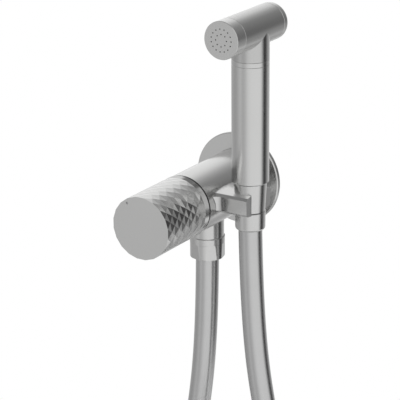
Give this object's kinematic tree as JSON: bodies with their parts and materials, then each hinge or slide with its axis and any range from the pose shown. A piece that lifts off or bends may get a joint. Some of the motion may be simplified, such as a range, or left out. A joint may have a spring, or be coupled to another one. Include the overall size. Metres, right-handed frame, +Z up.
{
  "type": "bidet mixer",
  "caption": "Wall-mounted bidet mixer: round body with a faceted turning knob, hex-nut outlet with hanging hose, and a slim T-shaped hand shower in a forked side holder.",
  "frame": {"origin": "middle of the wall plate's back face, on the wall plane", "axes": "-Y out of the wall along the body's axis, +Z up, +X towards the hand shower's side"},
  "size_m": [0.1962, 0.1332, 0.5963],
  "materials": {
    "brushed_steel": "fine brushed satin",
    "brass": "machined",
    "screw_steel": "plain machined",
    "rubber": "matte",
    "white_plastic": "moulded",
    "ceramic": "lapped ceramic",
    "silver_hose": "smooth silver satin"
  },
  "bodies": {
    "mixer": {"wall_flange": "brushed_steel", "flange_seal": "rubber", "grip_ring": "rubber", "wall_bracket": "brass", "bracket_screws": "screw_steel", "inlet_spigot_hot": "brass", "inlet_spigot_cold": "brass", "spigot_rings_hot": "rubber", "spigot_rings_cold": "rubber", "mixer_body": "brushed_steel", "body_grub_screw": "screw_steel", "cartridge_base": "white_plastic", "port_seals": "rubber", "fixed_disc": "ceramic", "cartridge_housing": "white_plastic", "spindle_seal": "rubber", "cartridge_nut": "brass", "outlet_nipple": "brushed_steel", "nipple_ring": "rubber", "valve_cage": "white_plastic", "check_spring": "screw_steel", "outlet_hex_nut": "brushed_steel", "outlet_washer": "rubber", "outlet_hose_tail": "brass", "hose": "silver_hose", "holder_fork": "brushed_steel", "fork_stud": "screw_steel", "fork_pin": "screw_steel"},
    "knob": {"moving_disc": "ceramic", "spindle": "brass", "knob_adapter": "white_plastic", "knob_sleeve": "brushed_steel", "knob_grub_screw": "screw_steel"},
    "check_poppet": {"check_poppet": "white_plastic", "poppet_seal": "rubber"},
    "handset": {"hose_cone_nut": "brushed_steel", "handset_washer": "rubber", "handset_hose_tail": "brass", "tail_cone": "brushed_steel", "tail_seal": "rubber", "handle_tube": "brushed_steel", "neck_ring": "brushed_steel", "head_body": "brushed_steel", "neck_seal": "rubber", "spray_cap": "brushed_steel", "spray_gasket": "rubber", "flow_disc": "white_plastic", "head_rear_ring": "brushed_steel", "stem_seal": "rubber", "button_spring": "screw_steel"},
    "button": {"push_button": "brushed_steel", "valve_stem": "brass", "valve_seal": "rubber", "stem_nut": "brass"}
  },
  "joints": [
    {"name": "knob_turn", "type": "hinge", "parent": "mixer", "child": "knob", "pos_m": [0, -0.09, 0], "axis": [0, -1, 0], "range_deg": [0, 100]},
    {"name": "handset_lift", "type": "slide", "parent": "mixer", "child": "handset", "axis": [0, 0, 1], "range_m": [0, 0.028], "deforming": ["hose"]},
    {"name": "button_press", "type": "slide", "parent": "handset", "child": "button", "axis": [0, -1, 0], "range_m": [0, 0.003], "stiffness_N_per_m": 1200, "springref_m": -0.004, "deforming": ["button_spring"]},
    {"name": "check_open", "type": "slide", "parent": "mixer", "child": "check_poppet", "axis": [0, 0, -1], "range_m": [0, 0.0025], "stiffness_N_per_m": 120, "springref_m": -0.002, "deforming": ["check_spring"]}
  ]
}
